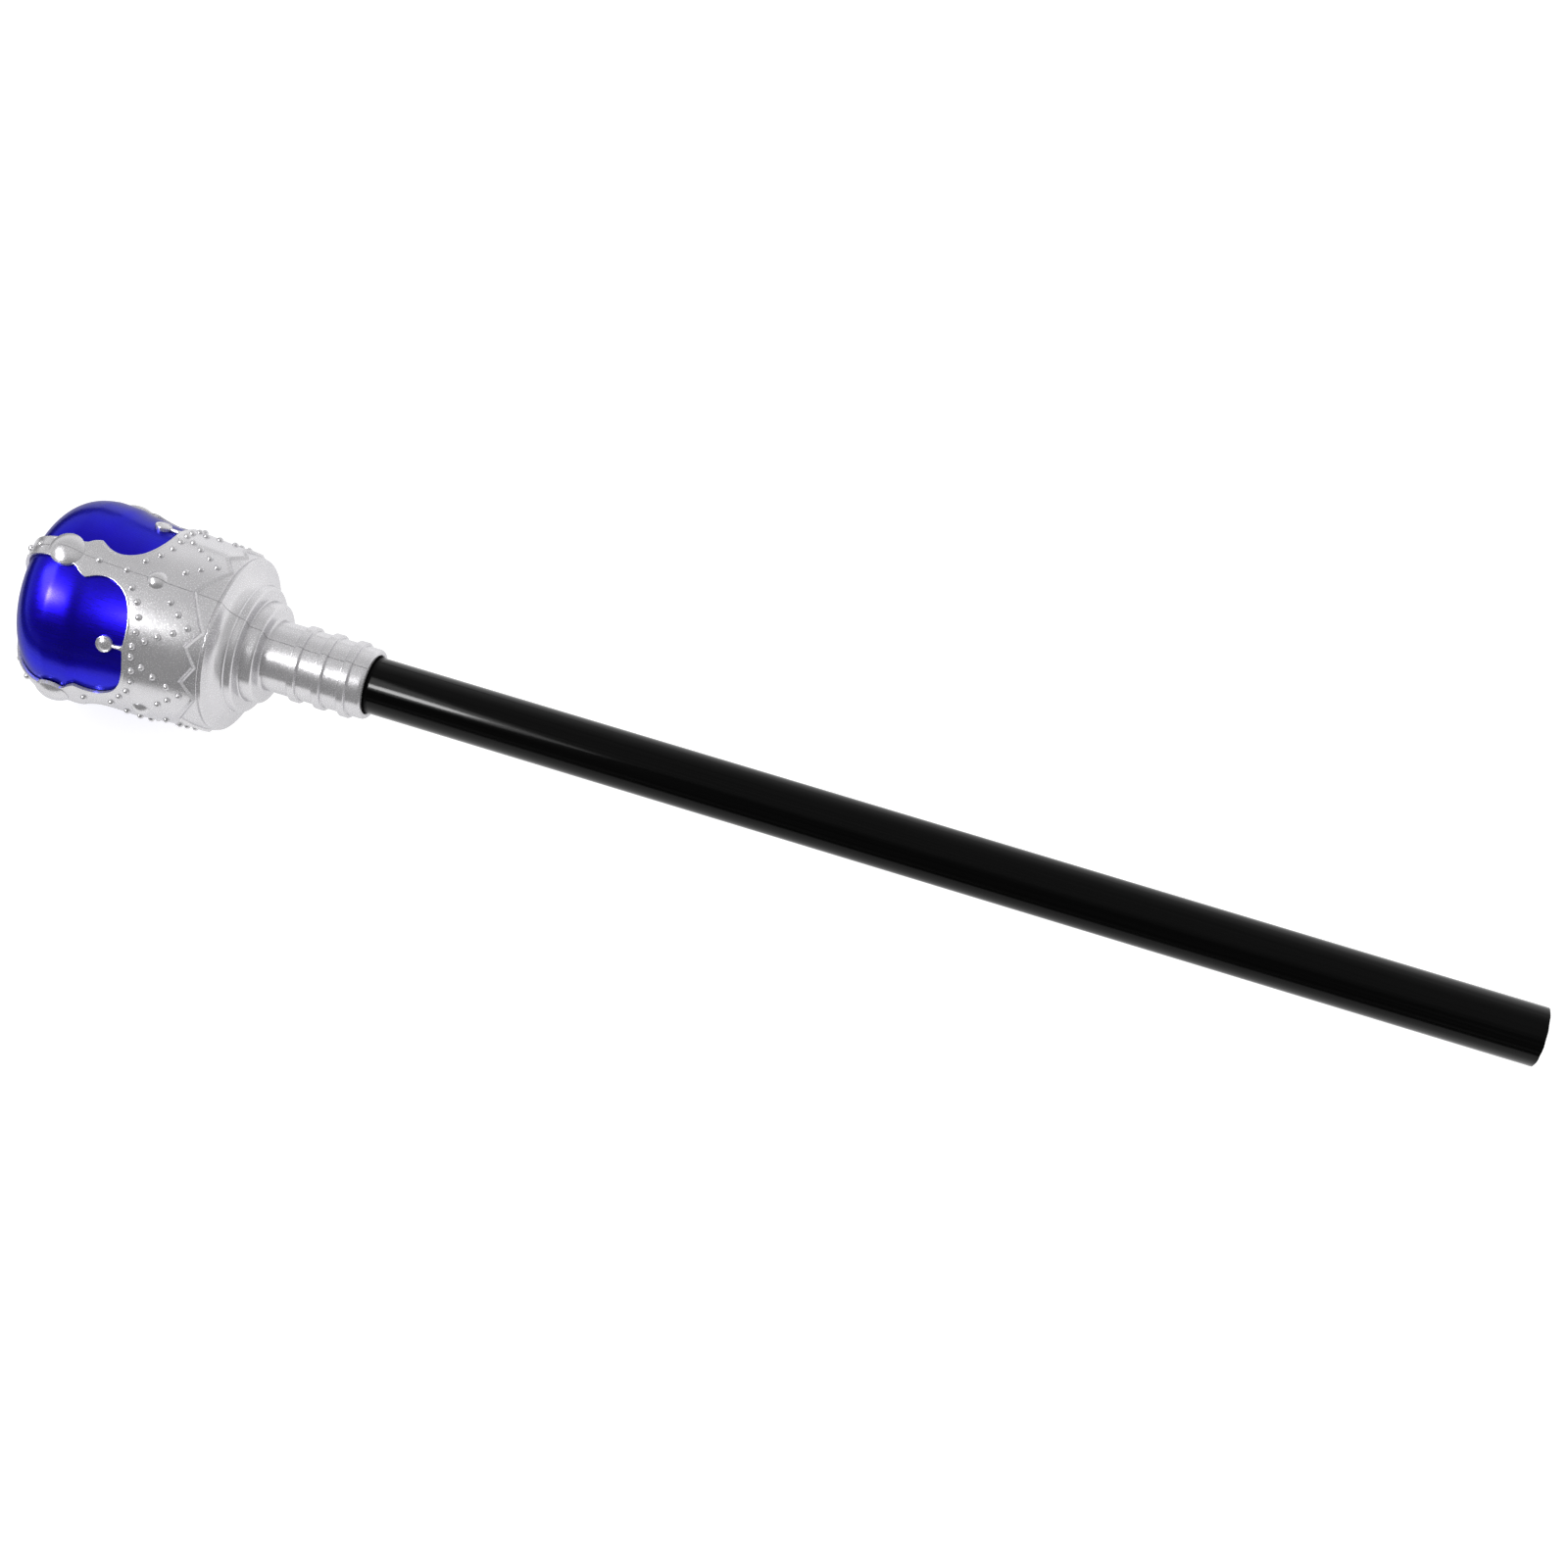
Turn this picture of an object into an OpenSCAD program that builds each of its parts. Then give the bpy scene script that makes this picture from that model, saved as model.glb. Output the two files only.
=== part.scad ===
// Toy sceptre wand: two moulded half shells make the crown head and the ringed neck,
// a blue dome is trapped inside them, and a plain hollow tube pushes into the neck.
// The axis of the wand is X. The head points to -X and the open tube end is at x = 0.

/* [Tube] */
// Outside diameter of the extruded tube
tube_od = 16; // [12:0.5:20]
// Wall thickness of the tube
tube_wall = 1.0; // [0.8:0.1:2]
// Length of tube that shows between the neck mouth and the open end
tube_shown = 324; // [150:1:400]
// Depth the tube goes into the neck
socket_depth = 30; // [20:1:34]
// Radial clearance of the tube in its socket
tube_clear = 0.05; // [0.02:0.01:0.1]

/* [Neck] */
// Outside diameter of the neck between its rings
neck_od = 20; // [18.6:0.1:22]
// Height of the three raised rings
ring_h = 0.9; // [0.3:0.1:1.5]
// Width of one raised ring
ring_w = 2.6; // [1.5:0.1:4]
// Distance from one raised ring to the next
ring_pitch = 7.3; // [5:0.1:9]
// Distance from the neck mouth to the first ring
ring_first = 5.6; // [4:0.1:8]

/* [Crown] */
// Wall thickness of the moulded shells
wall = 1; // [0.8:0.1:2]
// Outside radius of the crown where the dome starts
crown_r = 29.7; // [26:0.1:32]
// Height of that place above the base rim
crown_h = 41.5; // [36:0.5:44]
// Height of the rounded top above that place
top_h = 19.3; // [16:0.1:26]
// Half width of the four straps that run to the pole
strap_half = 2.4; // [1.5:0.1:4]
// Radius of the boss where the straps meet
hub_r = 6; // [4:0.5:9]
// Radius of the large round jewels
jewel_r = 4.8; // [3:0.1:6]
// Radius of the small round jewels
stud_r = 2.7; // [1.5:0.1:4]
// Radius of the round prong ends
prong_r = 2.3; // [1.5:0.1:3]
// Radius of the beads on the straps
bead_r = 1; // [0.5:0.1:1.5]

/* [Dome] */
// Wall thickness of the blue dome
dome_wall = 1.2; // [0.8:0.1:2]
// Radial gap between dome and shell
dome_gap = 0.1; // [0.05:0.01:0.4]

/* [Hidden] */
tube_r = tube_od / 2;
socket_r = tube_r + tube_clear;
neck_r = neck_od / 2;
mouth_h = -39.5;                     // neck mouth, measured from the base rim
rim_x = -tube_shown + mouth_h;       // the base rim on the wand's axis
stop_h = mouth_h + socket_depth;     // face the tube stops against
stop_t = 1.6;                        // thickness of that stop
stop_r = 5.5;                        // hole through the stop
mouth_lead = 0.25;                   // widening of the socket at its mouth
lead_len = 1.2;                      // length of that widening
seat_h = 13;                         // ledge the dome stands on
seat_t = 1.6;                        // thickness of that ledge
seat_r = 22;                         // hole in that ledge
socket_wall_r = socket_r + 1.55;     // outside of the inner socket wall
window_h = 21.5;                     // lower edge of the windows
cut_h = 40;                          // above this the windows run up to the hub
jewel_h = 44.5;
stud_h = 18.5;
prong_h = 27.4;
prong_neck = 0.75;                   // half width of a prong's stem
jewel_rise = 1.8;
stud_rise = 1.4;
pin_r = 1.3;                         // locating pins on the front shell
pin_len = 3;
pin_hole_r = 1.35;
pin_hole_len = 3.6;
boss_r = 2.7;
boss_len = 6;
crown_pin_h = 6.2;                   // pins near the base of the crown
crown_pin_r = 21.9;
far = 80;
squareness = 2.85;                   // 2 would make the top an ellipse
wall_steps = [1.2, 6, 13, 20, 26, 31, 35.5, 39];   // heights that shape the wall
seat_steps = [20, 26, 31, 35.5, 39]; // those above the ledge
f_round = 96;
f_bead = 16;
f_small = 32;
arc_n = 14;

silver = [0.74, 0.74, 0.76];
blue = [0.03, 0.06, 0.80];
black = [0.03, 0.03, 0.035];

function dome_arc(r, t, h0) =
    [for (i = [0 : arc_n]) [r * pow(cos(90 * i / arc_n), 2 / squareness),
        h0 + t * pow(sin(90 * i / arc_n), 2 / squareness)]];
function lathe_r(h) = lookup(h, [[1.2, 24.95], [6, 25.7], [13, 26.4], [20, 27.0],
    [26, 27.4], [31, 27.9], [35.5, 28.6], [39, 29.35], [crown_h, crown_r]]);
function up(h) = pow((h - crown_h) / top_h, squareness);
function crown_out(h) = h < crown_h ? lathe_r(h)
    : crown_r * pow(1 - up(h), 1 / squareness);
// Angle by which the surface leans towards the pole at that height.
function lean(h) = h < crown_h ? -5
    : atan(crown_r / top_h * pow(up(h), 1 - 1 / squareness)
        * pow(1 - up(h), 1 / squareness - 1));

// Places the head: height above the base rim becomes -X, the seam plane is XZ.
module head() translate([rim_x, 0, 0]) rotate([0, -90, 0]) children();

module outer_body() {
    rotate_extrude($fn = f_round) polygon(concat(
        [[0, mouth_h], [9.1, mouth_h], [9.6, mouth_h + 0.35], [neck_r, mouth_h + 1],
         [neck_r, -10.6], [10.3, -9.9], [10.8, -9.6], [13.0, -9.45], [13.6, -9.35],
         [14.1, -9.0], [14.25, -8.5], [14.5, -5.9], [14.7, -5.6], [15.2, -5.5],
         [17.3, -5.35], [17.8, -5.1], [18, -4.7], [18.2, -3.5], [18.8, -3.3],
         [18.95, -2.75], [19.6, -2.2], [21.1, -0.85], [22.6, -0.3], [24.3, 0],
         [24.7, 0.3]],
        [for (h = wall_steps) [lathe_r(h), h]],
        dome_arc(crown_r, top_h, crown_h)));
    for (i = [0 : 2])
        translate([0, 0, mouth_h + ring_first + i * ring_pitch - ring_w / 2])
            neck_ring();
}

module neck_ring() {
    c = ring_h * 0.6;
    rotate_extrude($fn = f_round) polygon([[neck_r - 0.4, 0], [neck_r, 0],
        [neck_r + ring_h - c / 2, c / 2], [neck_r + ring_h, c],
        [neck_r + ring_h, ring_w - c], [neck_r + ring_h - c / 2, ring_w - c / 2],
        [neck_r, ring_w], [neck_r - 0.4, ring_w]]);
}

// Hollow above the ledge, where the dome sits.
module crown_hollow()
    rotate_extrude($fn = f_round) polygon(concat([[0, seat_h]],
        [for (h = concat([seat_h], seat_steps)) [lathe_r(h) - wall, h]],
        dome_arc(crown_r - wall, top_h - wall, crown_h)));

// Hollow between the base plate and the ledge.
module base_hollow()
    rotate_extrude($fn = f_round) polygon([[0, stop_h + stop_t],
        [12.4, stop_h + stop_t], [12.8, -4.5], [15.6, -4.1], [16.4, -3.4], [16.7, -1.6],
        [18.4, -0.4],
        [20.6, 1.1], [23.2, 1.7], [23.6, 2.4], [24.4, 6], [25.1, seat_h - seat_t],
        [seat_r, seat_h - seat_t], [seat_r, seat_h + 0.1], [0, seat_h + 0.1]]);

module socket() {
    translate([0, 0, mouth_h - 1]) cylinder(r = socket_r, h = socket_depth + 1, $fn = f_round);
    translate([0, 0, mouth_h - 0.01])
        cylinder(r1 = socket_r + mouth_lead, r2 = socket_r, h = lead_len, $fn = f_round);
    translate([0, 0, stop_h - 1]) cylinder(r = stop_r, h = stop_t + 2, $fn = f_round);
}

// One window opening, drawn flat and cut outward along its own direction.
// Angles are measured from the middle of the window.
module window_outline() {
    half = [[-44, 21.9], [-41, 21.6], [-36, 21.5], [-30, 21.5], [-24, 22.0],
        [-18.5, 23.0], [-12.4, 24.8], [-8.3, 27.2], [-6.5, 30.0], [-6.8, 32.6],
        [-8.6, 34.8], [-10.6, 36.6]];
    left = [for (p = half) [lathe_r(p[1]) * sin(-45 - p[0]), p[1]]];
    right = [for (i = [len(half) - 1 : -1 : 0])
        [-lathe_r(half[i][1]) * sin(-45 - half[i][0]), half[i][1]]];
    edge = crown_r * sin(45 - 6.2);
    polygon(concat(left, [[-edge, 38.4], [-edge, cut_h + 0.2]],
        [[edge, cut_h + 0.2], [edge, 38.4]], right));
}

module window_low()
    rotate([0, 0, 45]) rotate([90, 0, 90])
        linear_extrude(height = far) window_outline();

module window_top() difference() {
    translate([strap_half, strap_half, cut_h]) cube([far, far, far]);
    cylinder(r = hub_r, h = far + far, $fn = f_small);
}

module windows() for (q = [0 : 3]) rotate([0, 0, 90 * q]) {
    window_low();
    window_top();
}

// A domed button standing on the crown at height h.
module button(h, r, rise, foot) {
    dome_rad = (r * r + rise * rise * 0.36) / (2 * rise * 0.6);
    translate([crown_out(h), 0, h]) rotate([0, 90 - lean(h), 0])
        intersection() {
            translate([0, 0, -foot]) cylinder(r = r, h = foot + rise, $fn = f_small);
            translate([0, 0, rise - dome_rad]) sphere(r = dome_rad, $fn = 60);
        }
}

module bead(h) translate([crown_out(h), 0, h]) sphere(r = bead_r, $fn = f_bead);

module prong() {
    button(prong_h, prong_r, 0.5, wall - 0.1);
    intersection() {
        rotate([0, 90, 0]) translate([-(window_h + prong_h) / 2, 0, 0])
            cube([prong_h - window_h + 1.5, prong_neck * 2, far], center = true);
        wall_band();
    }
}

module wall_band() rotate_extrude($fn = f_round) polygon(concat(
    [for (h = [20, 26, 31]) [lathe_r(h), h]],
    [for (h = [31, 26, 20]) [lathe_r(h) - wall, h]]));

module buttons() for (q = [0 : 3]) rotate([0, 0, 90 * q]) {
    button(jewel_h, jewel_r, jewel_rise, wall - 0.1);
    button(stud_h, stud_r, stud_rise, 1);
    for (h = [27.1, 34.9, 52.3, 56.2]) bead(h);
    rotate([0, 0, 45]) prong();
}

module hub() translate([0, 0, crown_h + top_h - 0.9]) cylinder(r1 = 3.4, r2 = 2.6,
    h = 1.7, $fn = f_small);

module shell_blank() {
    difference() {
        outer_body();
        crown_hollow();
        base_hollow();
        windows();
    }
    buttons();
    hub();
    socket_sleeve();
}

// The wall of the tube socket inside the stepped base.
module socket_sleeve() translate([0, 0, -10])
    cylinder(r = socket_wall_r, h = 10 + stop_h + stop_t, $fn = f_round);

// The two bosses at the seam carry the locating pins or their holes.
module bosses(side) for (s = [-1, 1])
    translate([s * crown_pin_r, 0, crown_pin_h]) rotate([side * -90, 0, 0])
        cylinder(r = boss_r, h = boss_len, $fn = f_small);

// side is -1 for the front half (-Y) and 1 for the back half (+Y).
module half(side) difference() {
    union() {
        intersection() {
            difference() {
                shell_blank();
                socket();
            }
            translate([-far, side > 0 ? 0 : -far, -far]) cube([2 * far, far, 2 * far]);
        }
        bosses(side);
        if (side < 0) pins();
    }
    if (side > 0) pin_holes();
}

module pins() for (s = [-1, 1])
    translate([s * crown_pin_r, -1, crown_pin_h]) rotate([-90, 0, 0])
        cylinder(r = pin_r, h = pin_len + 1, $fn = f_small);

module pin_holes() for (s = [-1, 1])
    translate([s * crown_pin_r, -0.1, crown_pin_h]) rotate([-90, 0, 0])
        cylinder(r = pin_hole_r, h = pin_hole_len + 0.1, $fn = f_small);

module crown_shell_front() color(silver) head() half(-1);

module crown_shell_back() color(silver) head() half(1);

module blue_dome() color(blue) head() difference() {
    rotate_extrude($fn = f_round) polygon(concat([[0, seat_h]],
        [for (h = concat([seat_h], seat_steps)) [lathe_r(h) - wall - dome_gap, h]],
        dome_arc(crown_r - wall - dome_gap, top_h - wall - dome_gap, crown_h)));
    rotate_extrude($fn = f_round) polygon(concat([[0, seat_h - 1]],
        [for (h = concat([seat_h - 1], seat_steps))
            [lathe_r(max(h, seat_h)) - wall - dome_gap - dome_wall, h]],
        dome_arc(crown_r - wall - dome_gap - dome_wall,
            top_h - wall - dome_gap - dome_wall, crown_h)));
}

module tube() color(black) translate([-(tube_shown + socket_depth), 0, 0])
    rotate([0, 90, 0]) difference() {
        cylinder(r = tube_r, h = tube_shown + socket_depth, $fn = f_round);
        translate([0, 0, -1])
            cylinder(r = tube_r - tube_wall, h = tube_shown + socket_depth + 2, $fn = f_round);
    }

crown_shell_front();
crown_shell_back();
blue_dome();
tube();
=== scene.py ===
"""Toy sceptre wand: a moulded silver crown head in two halves, the blue dome trapped inside it,
and the black extruded tube that pushes into the neck.

Lengths in the tables are millimetres. The wand lies along X with its head towards -X. A place on
the head is given by its height above the base rim, its angle about the wand (0 is straight up,
90 is +Y) and its distance from the wand's axis.
"""

import math
import random

import bpy
from mathutils import Matrix, Vector


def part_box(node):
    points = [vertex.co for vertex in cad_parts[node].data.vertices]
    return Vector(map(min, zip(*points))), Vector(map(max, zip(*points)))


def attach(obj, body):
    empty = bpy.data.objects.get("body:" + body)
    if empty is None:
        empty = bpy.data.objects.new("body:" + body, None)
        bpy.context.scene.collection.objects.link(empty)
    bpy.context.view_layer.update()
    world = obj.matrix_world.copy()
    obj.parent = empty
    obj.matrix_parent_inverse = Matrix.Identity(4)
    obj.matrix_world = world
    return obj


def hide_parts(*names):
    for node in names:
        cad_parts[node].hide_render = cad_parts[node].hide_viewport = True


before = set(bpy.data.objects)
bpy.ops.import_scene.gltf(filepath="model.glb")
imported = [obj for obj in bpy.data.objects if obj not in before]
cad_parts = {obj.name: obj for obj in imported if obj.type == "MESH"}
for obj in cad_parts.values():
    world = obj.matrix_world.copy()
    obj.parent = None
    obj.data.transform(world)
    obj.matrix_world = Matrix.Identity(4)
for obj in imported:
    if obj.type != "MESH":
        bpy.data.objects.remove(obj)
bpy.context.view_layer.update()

MM = 0.001

# ---------------------------------------------------------------- places taken from the frame

TUBE_LOW, TUBE_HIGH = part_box("tube")
TUBE_R = TUBE_HIGH.z / MM
TUBE_WALL = 1.0
SOCKET = 30.0                       # how far the tube goes into the neck
MOUTH = -39.5                       # the neck's mouth, below the base rim
RIM_X = TUBE_LOW.x / MM + MOUTH + SOCKET    # the base rim on the wand's axis

# ---------------------------------------------------------------- driving sizes of the head

WALL = 1.0                          # moulded wall
DOME_GAP = 0.1                      # between the wall's inside and the blue dome
DOME_WALL = 1.2
DOME_FOOT = 13.0                    # height of the ledge the dome stands on
CROWN_R, CROWN_H, TOP_H = 29.7, 41.5, 19.3  # radius and height where the dome starts, dome height
SQUARENESS = 2.85                   # 2 would make the dome's outline an ellipse
JOIN_H = 1.3                        # the crown wall starts here, above the rounded rim
JOIN_GAP = 0.03                     # wall and base are merged where they are closer than this
EDGE_ROUND = 0.32                   # rounding of the moulding's sharp edges
STRAP_END_R = 4.0                   # the straps run in under the cap where they cross
JEWEL_H, JEWEL_R, JEWEL_RISE = 44.1, 4.7, 1.75
STUD_H, STUD_R, STUD_RISE, STUD_SINK = 18.5, 2.7, 1.4, 0.05
PRONG_H, PRONG_R = 27.4, 2.3
CAP_R, KNOB_R, KNOB_LIFT = 6.1, 3.2, 0.85   # cap and knob where the straps cross
BEAD_R, BEAD_SINK = 1.0, 0.1

# Radius of the crown wall at each height.
WALL_PROFILE = [(24.5, 0.1), (24.95, 1.2), (25.7, 6), (26.4, 13), (27.0, 20), (27.4, 26),
                (27.9, 31), (28.6, 35.5), (29.35, 39)]

# Edge of a window from the foot of its prong round to the tip beside the arch:
# degrees from the arch, height, and the height on the arch's centre line that faces it.
WINDOW_EDGE = [(45.0, 21.8, 19.2), (40.5, 21.6, 19.7), (35.5, 21.5, 20.3), (30.2, 21.6, 20.9),
               (24.5, 22.1, 21.8), (18.7, 23.1, 23.0), (13.0, 24.9, 24.8), (9.2, 27.3, 27.0),
               (7.1, 30.0, 29.6), (7.0, 32.3, 32.1), (8.3, 34.5, 34.4), (10.8, 36.7, 36.6)]
# From the tip back to the strap under the large jewel.
TIP_TO_STRAP = [(10.8, 36.7), (9.0, 38.3), (6.9, 39.5), (6.1, 40.6)]
STRAP_FOOT_W, STRAP_W = 3.1, 2.35   # half widths of the strap
TAPER_FROM, TAPER_OVER = 40.6, 10   # height where it starts to narrow, and over how much

# Section of a window's rounded border: how far into the window, how far off the surface.
BORDER = [(-0.45, -0.4), (-0.45, 0.0), (-0.28, 0.06), (0.0, 0.06), (0.22, -0.03),
          (0.42, -0.22), (0.54, -0.5), (0.58, -0.93), (-0.3, -0.93)]

# Beads in one eighth of the crown: degrees from the arch, height.
BEADS = [(9.2, 23.8), (16.2, 21.1), (24.4, 19.45), (33.0, 19.2), (41.8, 19.5),
         (10.5, 12.6), (16.4, 9.5), (22.4, 6.0), (27.6, 9.4), (32.3, 13.2), (36.8, 16.4)]
ARCH_BEADS = [27.1, 34.9, 52.6, 56.9, 59.4, 60.3]

ZIGZAG = [(0.0, 7.6), (22.5, 1.95), (33.6, 5.5), (45.0, 2.3), (56.4, 5.5), (67.5, 1.95)]
ZIGZAG_WALL_R = 25.5                # radius of the wall under it
ZIGZAG_HALF = 0.66
ZIGZAG_RISE = 0.65

FLASH_HALF, FLASH_RISE, FLASH_SPREAD, FLASH_LIFT = 0.17, 0.15, 0.1, 0.02   # mould seam

RING_AT = [5.6, 12.9, 20.2]         # raised rings of the neck, from its mouth
RING_LINE = [(-1.5, 10.0), (-1.32, 10.06), (-1.2, 10.3), (-1.12, 10.68), (-0.92, 10.86),
             (0.92, 10.86), (1.12, 10.68), (1.2, 10.3), (1.32, 10.06), (1.5, 10.0)]

FLOOR_Z = -31.4                     # the jewels underneath just touch it
CARD_LIFT = 0.4

# ---------------------------------------------------------------- small helpers


def select_only(obj):
    """Makes obj the only selected and the active object."""
    bpy.ops.object.select_all(action="DESELECT")
    obj.select_set(True)
    bpy.context.view_layer.objects.active = obj


def edit_all(obj):
    """Opens obj in edit mode with everything selected."""
    select_only(obj)
    bpy.ops.object.mode_set(mode="EDIT")
    bpy.ops.mesh.select_all(action="SELECT")


def end_edit():
    bpy.ops.object.mode_set(mode="OBJECT")


def clean(obj, distance=0.002 * MM):
    """Merges doubles and turns every face outwards."""
    edit_all(obj)
    bpy.ops.mesh.remove_doubles(threshold=distance)
    bpy.ops.mesh.normals_make_consistent(inside=False)
    end_edit()


def drop_loose(obj):
    """Drops the edge that a spun outline leaves on its axis."""
    edit_all(obj)
    bpy.ops.mesh.delete_loose(use_verts=True, use_edges=True, use_faces=False)
    end_edit()


def smooth(obj, degrees=35):
    select_only(obj)
    bpy.ops.object.shade_smooth_by_angle(angle=math.radians(degrees))


def modify(obj, kind, **settings):
    """Adds a modifier, sets it and applies it."""
    select_only(obj)
    modifier = obj.modifiers.new(kind.lower(), kind)
    for key, value in settings.items():
        setattr(modifier, key, value)
    bpy.ops.object.modifier_apply(modifier=modifier.name)


def soften(obj, width, segments=2, degrees=30):
    """Rounds the edges sharper than the angle."""
    modify(obj, "BEVEL", width=width * MM, segments=segments, limit_method="ANGLE",
           angle_limit=math.radians(degrees), use_clamp_overlap=True)


def copy_of(obj):
    twin = obj.copy()
    twin.data = obj.data.copy()
    bpy.context.scene.collection.objects.link(twin)
    return twin


def halved(obj):
    """Cuts a closed piece at the XZ plane; returns its -Y and +Y halves, each closed again."""
    halves = []
    for side in (-1, 1):
        half = copy_of(obj)
        edit_all(half)
        bpy.ops.mesh.bisect(plane_co=(0, 0, 0), plane_no=(0, 1, 0), use_fill=True,
                            clear_inner=side > 0, clear_outer=side < 0, threshold=0.0005 * MM)
        end_edit()
        halves.append(half)
    bpy.data.objects.remove(obj)
    return halves


def joined(objects, name):
    bpy.ops.object.select_all(action="DESELECT")
    for obj in objects:
        obj.select_set(True)
    bpy.context.view_layer.objects.active = objects[0]
    bpy.ops.object.join()
    objects[0].name = name
    objects[0].data.name = name
    return objects[0]


def place(angle, height, radius):
    """A point of the head, in metres."""
    turn = math.radians(angle)
    return Vector(((RIM_X - height) * MM, radius * math.sin(turn) * MM,
                   radius * math.cos(turn) * MM))


def spline(points, steps):
    """A smooth line through the points, with that many steps from each one to the next."""
    ends = [tuple(2 * a - b for a, b in zip(points[0], points[1]))]
    last = [tuple(2 * a - b for a, b in zip(points[-1], points[-2]))]
    p = ends + list(points) + last
    line = []
    for i in range(1, len(p) - 2):
        for k in range(steps):
            t = k / steps
            line.append(tuple(
                0.5 * (2 * b + (c - a) * t + (2 * a - 5 * b + 4 * c - d) * t * t
                       + (3 * b - a - 3 * c + d) * t ** 3)
                for a, b, c, d in zip(p[i - 1], p[i], p[i + 1], p[i + 2])))
    line.append(tuple(points[-1]))
    return line


# ---------------------------------------------------------------- the crown's outer line

top_arc = [(CROWN_R * math.cos(math.radians(a)) ** (2 / SQUARENESS),
            CROWN_H + TOP_H * math.sin(math.radians(a)) ** (2 / SQUARENESS))
           for a in list(range(4, 88, 4)) + [88.5, 89.7]] + [(0.0, CROWN_H + TOP_H)]
CROWN_LINE = spline(WALL_PROFILE + top_arc, 10)
CROWN_RUN = [0.0]
for here, there in zip(CROWN_LINE, CROWN_LINE[1:]):
    CROWN_RUN.append(CROWN_RUN[-1] + math.dist(here, there))


def crown_at(run):
    """(radius, height) of the outer surface, that far along its line from the rim."""
    run = min(max(run, 0.0), CROWN_RUN[-1])
    k = next(i for i in range(1, len(CROWN_RUN)) if CROWN_RUN[i] >= run)
    t = (run - CROWN_RUN[k - 1]) / (CROWN_RUN[k] - CROWN_RUN[k - 1])
    (r0, h0), (r1, h1) = CROWN_LINE[k - 1], CROWN_LINE[k]
    return r0 + (r1 - r0) * t, h0 + (h1 - h0) * t


def run_at(height):
    """Distance along the crown's line to that height."""
    k = next(i for i in range(1, len(CROWN_LINE)) if CROWN_LINE[i][1] >= height)
    h0, h1 = CROWN_LINE[k - 1][1], CROWN_LINE[k][1]
    return CROWN_RUN[k - 1] + (CROWN_RUN[k] - CROWN_RUN[k - 1]) * (height - h0) / (h1 - h0)


def crown_normal(run):
    """(outward, upward) part of the surface's normal there."""
    (r0, h0), (r1, h1) = crown_at(run - 0.3), crown_at(run + 0.3)
    length = math.dist((r0, h0), (r1, h1))
    return (h1 - h0) / length, -(r1 - r0) / length


def on_crown(angle, run, lift=0.0):
    """A point of the crown's surface, lifted off it along its normal, in metres."""
    radius, height = crown_at(run)
    out, up = crown_normal(run)
    return place(angle, height + up * lift, radius + out * lift)


def stand(obj, angle, height, sink=0.0):
    """Stands obj, built round Z with its foot at the origin, on the crown."""
    run = run_at(height)
    out, up = crown_normal(run)
    turn = math.radians(angle)
    normal = Vector((-up, out * math.sin(turn), out * math.cos(turn)))
    side = Vector((0, math.cos(turn), -math.sin(turn)))
    along = side.cross(normal)
    matrix = Matrix((along, side, normal)).transposed().to_4x4()
    matrix.translation = on_crown(angle, run, -sink)
    select_only(obj)
    obj.matrix_world = matrix
    bpy.ops.object.transform_apply(location=True, rotation=True, scale=True)
    return obj


# ---------------------------------------------------------------- making shapes


def spun(name, corners, axis, steps):
    """Spins the closed outline through the corners once round the axis."""
    bpy.ops.object.select_all(action="DESELECT")
    bpy.ops.mesh.primitive_circle_add(vertices=len(corners), radius=MM, fill_type="NOTHING")
    obj = bpy.context.object
    obj.name = name
    for vertex, corner in zip(obj.data.vertices, corners):
        vertex.co = corner
    edit_all(obj)
    bpy.ops.mesh.spin(steps=steps, angle=2 * math.pi, center=(0, 0, 0), axis=axis)
    end_edit()
    clean(obj)
    return obj


def lathe(name, points, steps):
    """Spins (radius, height) points round the wand's axis."""
    return spun(name, [place(0, height, radius) for radius, height in points], (1, 0, 0), steps)


def button(name, points, steps):
    """Spins (radius, height) points round Z: a jewel, stud or cap standing on the origin."""
    corners = [(radius * MM, 0, height * MM) for radius, height in points]
    obj = spun(name, corners, (0, 0, 1), steps)
    drop_loose(obj)
    return obj


def net(name, columns, rows, point):
    """A sheet of quads whose corner (column, row) sits at point(column, row)."""
    bpy.ops.object.select_all(action="DESELECT")
    bpy.ops.mesh.primitive_grid_add(x_subdivisions=columns, y_subdivisions=rows, size=2)
    sheet = bpy.context.object
    sheet.name = name
    for vertex in sheet.data.vertices:
        column = round((vertex.co.x + 1) / 2 * columns)
        row = round((vertex.co.y + 1) / 2 * rows)
        vertex.co = point(column, row)
    return sheet


def close_ends(obj):
    """Fills the two open ends of a tube-like sheet."""
    edit_all(obj)
    bpy.ops.mesh.select_mode(type="EDGE")
    bpy.ops.mesh.select_all(action="DESELECT")
    bpy.ops.mesh.select_non_manifold(extend=False, use_wire=False, use_multi_face=False,
                                     use_non_contiguous=False, use_verts=False)
    bpy.ops.mesh.fill_holes(sides=0)
    end_edit()
    clean(obj)


# ---------------------------------------------------------------- crown wall, arches and straps


def strap_angle(run):
    """Half angle of the strap at that run; it narrows a little above the jewel."""
    radius, height = crown_at(run)
    part = min(max((height - TAPER_FROM) / TAPER_OVER, 0), 1)
    half = STRAP_FOOT_W + (STRAP_W - STRAP_FOOT_W) * part
    return math.degrees(math.asin(min(half / radius, 1)))


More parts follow.
